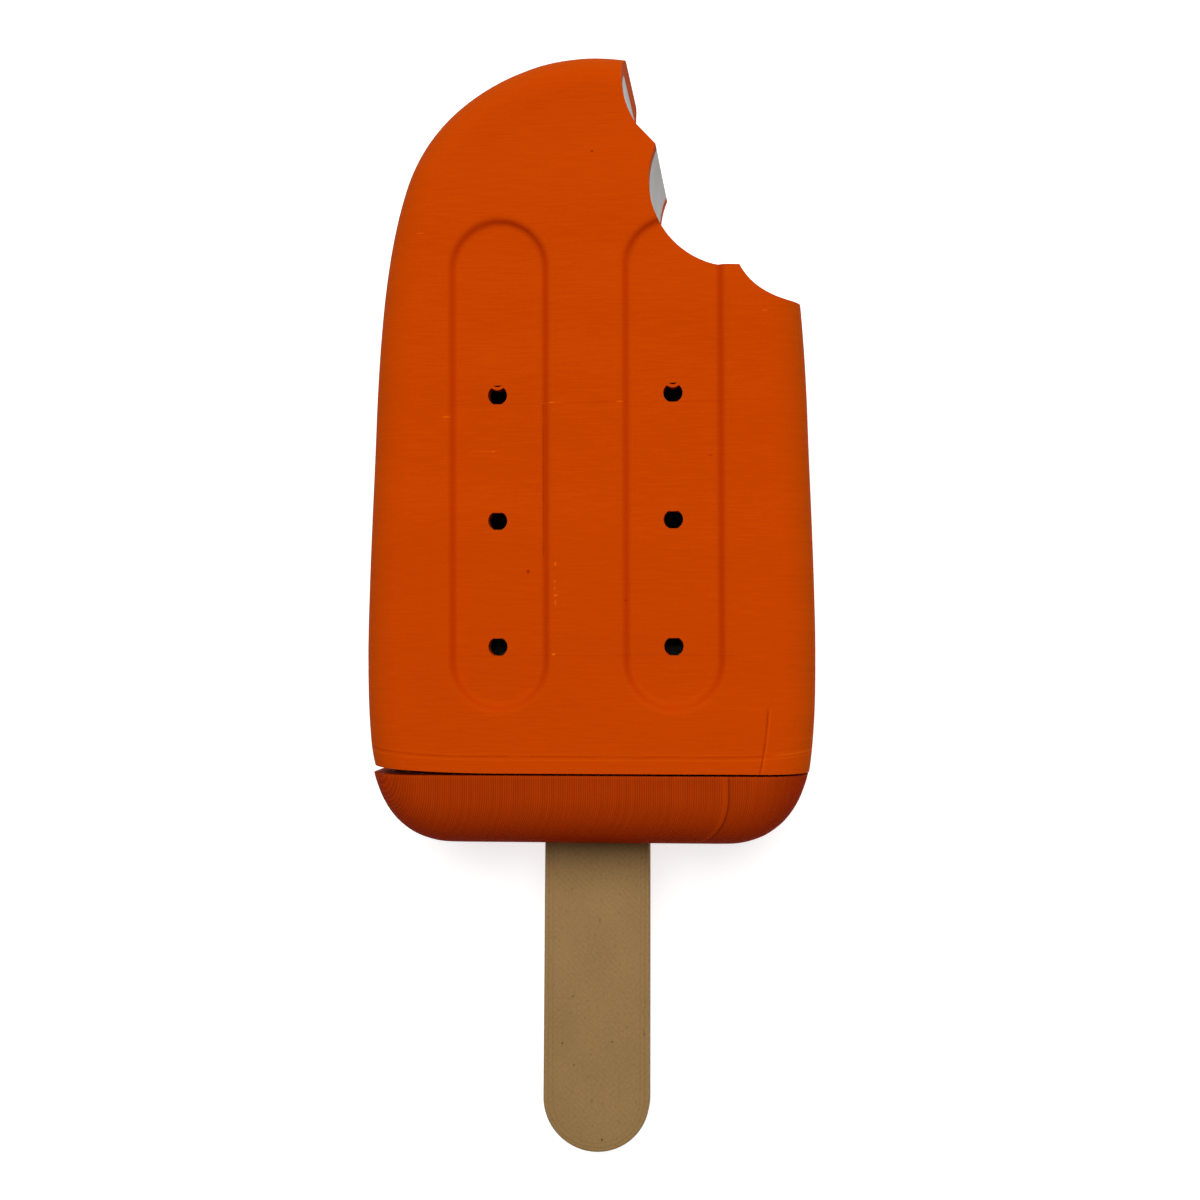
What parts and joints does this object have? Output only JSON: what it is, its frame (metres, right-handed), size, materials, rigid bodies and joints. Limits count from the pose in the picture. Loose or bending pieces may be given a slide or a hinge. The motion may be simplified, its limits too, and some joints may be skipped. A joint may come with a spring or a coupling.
{
  "type": "toy ice lolly",
  "caption": "Toy ice lolly in printed plastic, lying on its back: a domed orange shell with grooves, vent holes and a scalloped bite that shows a white core, an end cap and a flat tan stick.",
  "frame": {"origin": "middle of the underside of the box: on the back face that the lolly lies on", "axes": "+X across the lolly to the bitten side, +Y from the stick's end to the dome, +Z from the back to the front"},
  "size_m": [0.0406, 0.1006, 0.0202],
  "materials": {
    "orange_shell": "satin printed plastic with fine layer lines across the lolly",
    "orange_cap": "printed plastic with fine layer lines along the lolly",
    "white_core": "light grey-white printed plastic",
    "tan_stick": "matte printed plastic with slanted raster lines and dark specks"
  },
  "bodies": {
    "root": {"body_shell": "orange_shell", "core": "white_core", "base_cap": "orange_cap", "stick": "tan_stick"}
  },
  "joints": []
}
